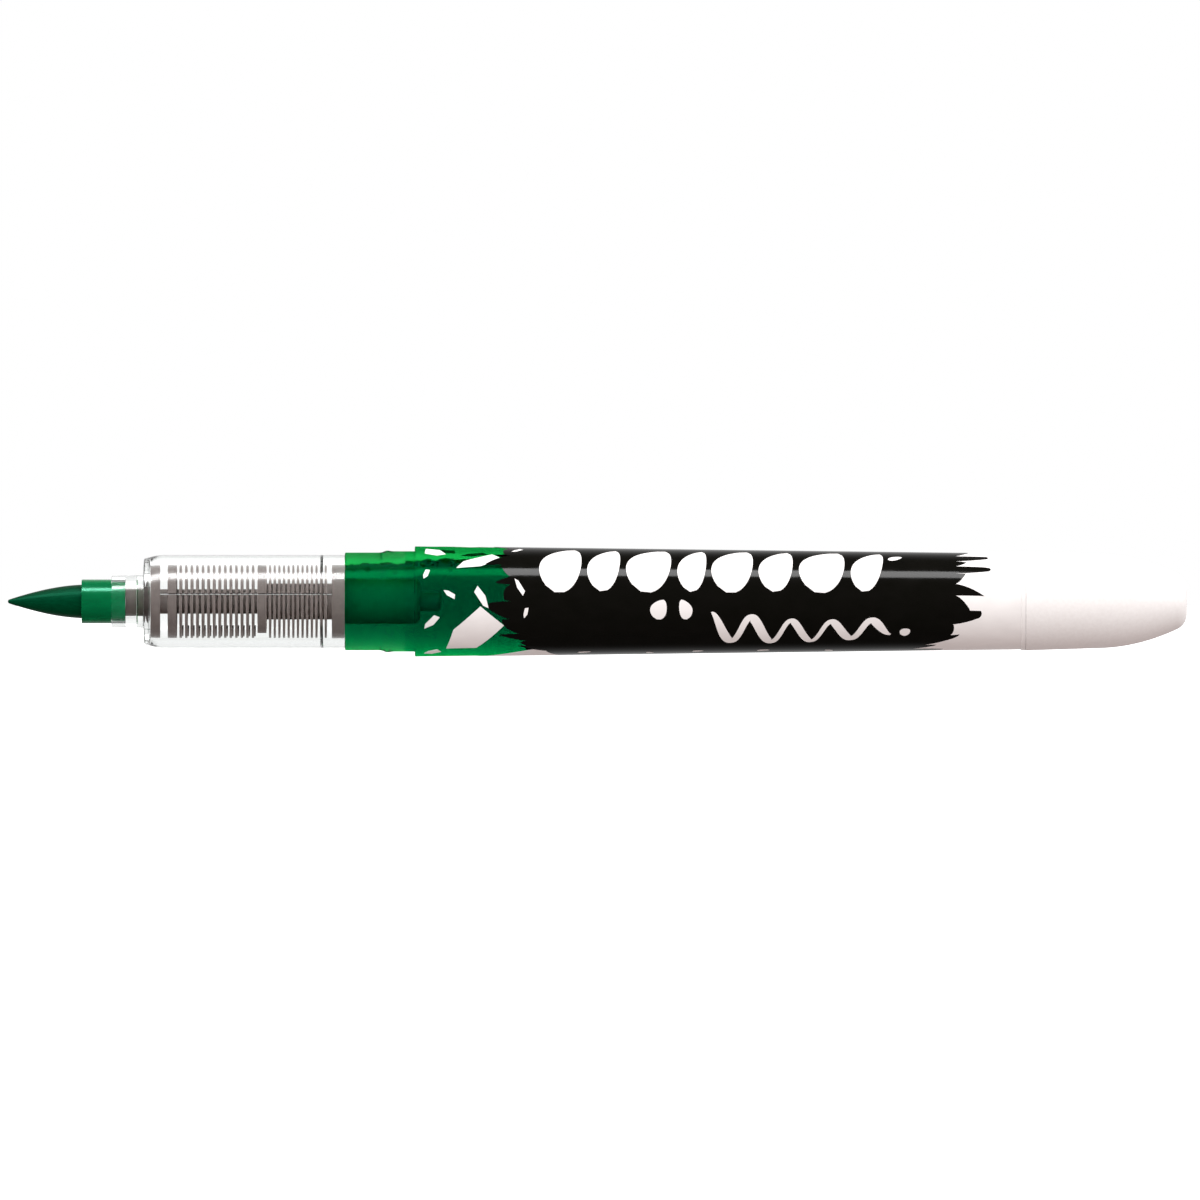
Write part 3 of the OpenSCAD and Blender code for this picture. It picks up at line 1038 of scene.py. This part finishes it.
def nicks():
    """Small gaps in the black, where the white below shows through."""
    torn = [chip(-8.9, 16, 2.2, 0.6, -62, 0.1), chip(-8.2, -12, 1.3, 0.5, 70), chip(-9.2, 70, 1.5, 0.5, 30)]
    low = [leaf(x, -73 + tilt / 4, length, 0.35, tilt) for x, length, tilt in
           ((-1.5, 1.6, 8), (6.0, 0.9, -10), (11.5, 1.3, 4), (19.0, 1.5, 6), (26.5, 1.0, -8))]
    back = [leaf(-7.9, 112, 2.0, 0.5, 30), leaf(-8.8, 160, 1.4, 0.5, -50), leaf(37.9, 140, 2.0, 0.4, 10)]
    return torn + low + back


def stepped(outline):
    """The outline with its long edges divided, so that none of them cuts a corner of the round barrel."""
    points, step = [], 0.3
    for a, b in zip(outline, outline[1:] + outline[:1]):
        parts = max(1, math.ceil(abs(b.y - a.y) / step))
        points += [a.lerp(b, k / parts) for k in range(parts)]
    return points


def in_rows(outline):
    """The outline's edges, listed under each row of the sheet that they cross: few are tried per facet."""
    rows = {}
    for a, b in zip(outline, outline[1:] + outline[:1]):
        for row in range(math.floor(min(a.y, b.y)), math.floor(max(a.y, b.y)) + 1):
            rows.setdefault(row, []).append((a, b))
    return rows


def wound(x, v, rows):
    """True where the outline winds round the point."""
    turns = 0
    for a, b in rows.get(math.floor(v), ()):
        if (a.y <= v) != (b.y <= v) and x < a.x + (v - a.y) / (b.y - a.y) * (b.x - a.x):
            turns += 1 if b.y > a.y else -1
    return turns != 0


def build_print():
    """Cuts the outlines into one sheet, sorts its facets by colour, and wraps each colour on the barrel."""
    layers = [("white", shape) for shape in [white_ground()] + scraps()] + [("black", black_band())]
    layers += [("white", shape) for shape in dabs() + squiggle() + nicks()]
    layers = [(kind, stepped(shape)) for kind, shape in layers]
    low, high = arc_length(SHEET_FROM), arc_length(SHEET_TO)
    last_x = SEAM_X - 0.01
    points, edges = [], []
    sheet = [Vector((FILM_X, low)), Vector((last_x, low)), Vector((last_x, high)), Vector((FILM_X, high))]
    for outline in [sheet] + [shape for _, shape in layers]:
        first, count = len(points), len(outline)
        points += outline
        edges += [(first + i, first + (i + 1) % count) for i in range(count)]
    columns, turns = 96, 108
    stations = [FILM_X + (FILM_END_X - FILM_X) * i / columns for i in range(columns + 1)]
    stations += [FILM_END_X + 0.06, last_x]
    points += [Vector((x, low + (high - low) * k / turns)) for x in stations for k in range(turns + 1)]
    flat, _, facets, *_ = delaunay_2d_cdt(points, edges, [], 0, 1e-5)
    tables = [(kind, min(p.x for p in shape), max(p.x for p in shape), in_rows(shape))
              for kind, shape in layers]
    sorted_facets = {"white": [], "black": []}
    for facet in facets:
        x = sum(flat[i].x for i in facet) / len(facet)
        v = sum(flat[i].y for i in facet) / len(facet)
        if not (FILM_X < x < last_x and low < v < high):
            continue
        colour = None
        for kind, x0, x1, rows in tables:
            if x0 < x < x1 and wound(x, v, rows):
                colour = kind
        if colour:
            sorted_facets[colour].append(facet)
    wrap_print("black_print", flat, sorted_facets["black"], BLACK)
    wrap_print("white_print", flat, sorted_facets["white"], WHITE, "print_film")


def wrap_print(name, flat, facets, material, *stands_for):
    """One colour of the print as a thin closed skin on the barrel."""
    work = bmesh.new()
    outer, inner = {}, {}
    for i in sorted({i for facet in facets for i in facet}):
        outer[i] = work.verts.new(turned_point(flat[i].x, flat[i].y, PRINT_SKIN))
        inner[i] = work.verts.new(turned_point(flat[i].x, flat[i].y, 0))
    sides = set()
    for facet in facets:
        work.faces.new([outer[i] for i in facet])
        work.faces.new([inner[i] for i in reversed(facet)])
        sides.update(zip(facet, (*facet[1:], facet[0])))
    for a, b in sorted(sides):
        if (b, a) not in sides:
            work.faces.new([outer[b], outer[a], inner[a], inner[b]])
    bmesh.ops.remove_doubles(work, verts=work.verts, dist=1e-7)
    bmesh.ops.recalc_face_normals(work, faces=work.faces)
    mesh = bpy.data.meshes.new(name)
    work.to_mesh(mesh)
    work.free()
    sharpen(mesh, 40)
    finish_piece(new_object(name, mesh), material, "print", *stands_for)


build_print()


# ---------------------------------------------------------------- studio

def make_floor():
    """A pale floor just under the pen. Only the camera sees it: the pen's underside looks into the dim."""
    half = 30.0
    level = -(FILM_R + 0.02) * MM
    mesh = bpy.data.meshes.new("floor")
    mesh.from_pydata([(-half, -half, level), (half, -half, level), (half, half, level), (-half, half, level)],
                     [], [(0, 1, 2, 3)])
    floor = new_object("floor", mesh)
    material, _ = principled(
        "pale_floor", Base_Color=(0.82, 0.82, 0.82, 1), Roughness=1.0, Specular_IOR_Level=0.0)
    mesh.materials.append(material)
    floor.visible_diffuse = False
    floor.visible_glossy = False
    floor.visible_transmission = False


def make_world():
    """Plain soft studio light, set apart for each kind of ray.

    It is white to the camera, from above on matt surfaces, dim in reflections, and an even white behind
    clear plastic with more of it from above.
    """
    world = bpy.data.worlds.new("studio")
    bpy.context.scene.world = world
    world.use_nodes = True
    world.cycles.sampling_method = "NONE"
    tree = world.node_tree
    tree.nodes.clear()
    output = tree.nodes.new("ShaderNodeOutputWorld")
    background = tree.nodes.new("ShaderNodeBackground")
    rays = tree.nodes.new("ShaderNodeLightPath")
    place = tree.nodes.new("ShaderNodeTexCoord")
    axes = tree.nodes.new("ShaderNodeSeparateXYZ")
    tree.links.new(place.outputs["Generated"], axes.inputs[0])

    def fade(axis, start, end, smooth=True):
        made = tree.nodes.new("ShaderNodeMapRange")
        made.interpolation_type = "SMOOTHSTEP" if smooth else "LINEAR"
        made.inputs["From Min"].default_value, made.inputs["From Max"].default_value = start, end
        tree.links.new(axes.outputs[axis], made.inputs["Value"])
        return made.outputs["Result"]

    def mixed(factor, a, b):
        made = tree.nodes.new("ShaderNodeMix")
        made.data_type = "RGBA"
        made.clamp_factor = True
        tree.links.new(factor, made.inputs["Factor"])
        for name, value in (("A", a), ("B", b)):
            socket = next(i for i in made.inputs if i.name == name and i.type == "RGBA")
            if isinstance(value, tuple):
                socket.default_value = (*value, 1)
            else:
                tree.links.new(value, socket)
        return next(o for o in made.outputs if o.type == "RGBA")

    matt = mixed(fade("Z", -1, 1, smooth=False), (0.12, 0.02, 0.0), (2.5, 2.5, 2.5))
    gloss = mixed(fade("Y", 0.3, 0.95), (0.07, 0.07, 0.07), (0.75, 0.75, 0.75))
    behind = mixed(fade("Z", 0.15, 0.75), (1.0, 1.0, 1.0), (1.6, 1.6, 1.6))
    behind = mixed(fade("Z", -0.6, -1.0), behind, (0.85, 0.85, 0.85))
    light = mixed(rays.outputs["Is Glossy Ray"], matt, gloss)
    light = mixed(rays.outputs["Is Transmission Ray"], light, behind)
    light = mixed(rays.outputs["Is Camera Ray"], light, (1.0, 1.0, 1.0))
    tree.links.new(light, background.inputs["Color"])
    tree.links.new(background.outputs["Background"], output.inputs["Surface"])


def make_strip():
    """A long strip softbox above and in front of the pen, which gives glossy surfaces a narrow gleam."""
    light = bpy.data.lights.new("strip", "AREA")
    light.shape = "RECTANGLE"
    light.size, light.size_y = 0.8, 0.15
    radiance = 22.0
    light.energy = radiance * math.pi * light.size * light.size_y
    strip = bpy.data.objects.new("strip", light)
    bpy.context.scene.collection.objects.link(strip)
    elevation, distance = math.radians(66), 0.5
    strip.location = (0, -distance * math.cos(elevation), distance * math.sin(elevation))
    strip.rotation_euler = (math.radians(90) - elevation, 0, 0)
    strip.visible_camera = False
    strip.visible_diffuse = False
    strip.visible_transmission = False


def make_camera():
    """Square on to the pen from the side, through a long lens."""
    data = bpy.data.cameras.new("camera")
    data.lens, data.sensor_width = 1000, 36
    camera = bpy.data.objects.new("camera", data)
    bpy.context.scene.collection.objects.link(camera)
    width = 0.1374
    camera.location = (0.0003, -width * data.lens / data.sensor_width, 0.00017)
    camera.rotation_euler = (math.radians(90), 0, 0)
    data.clip_start, data.clip_end = 0.01, 100
    bpy.context.scene.camera = camera


make_floor()
make_world()
make_strip()
make_camera()
bpy.context.scene.view_settings.view_transform = "Standard"
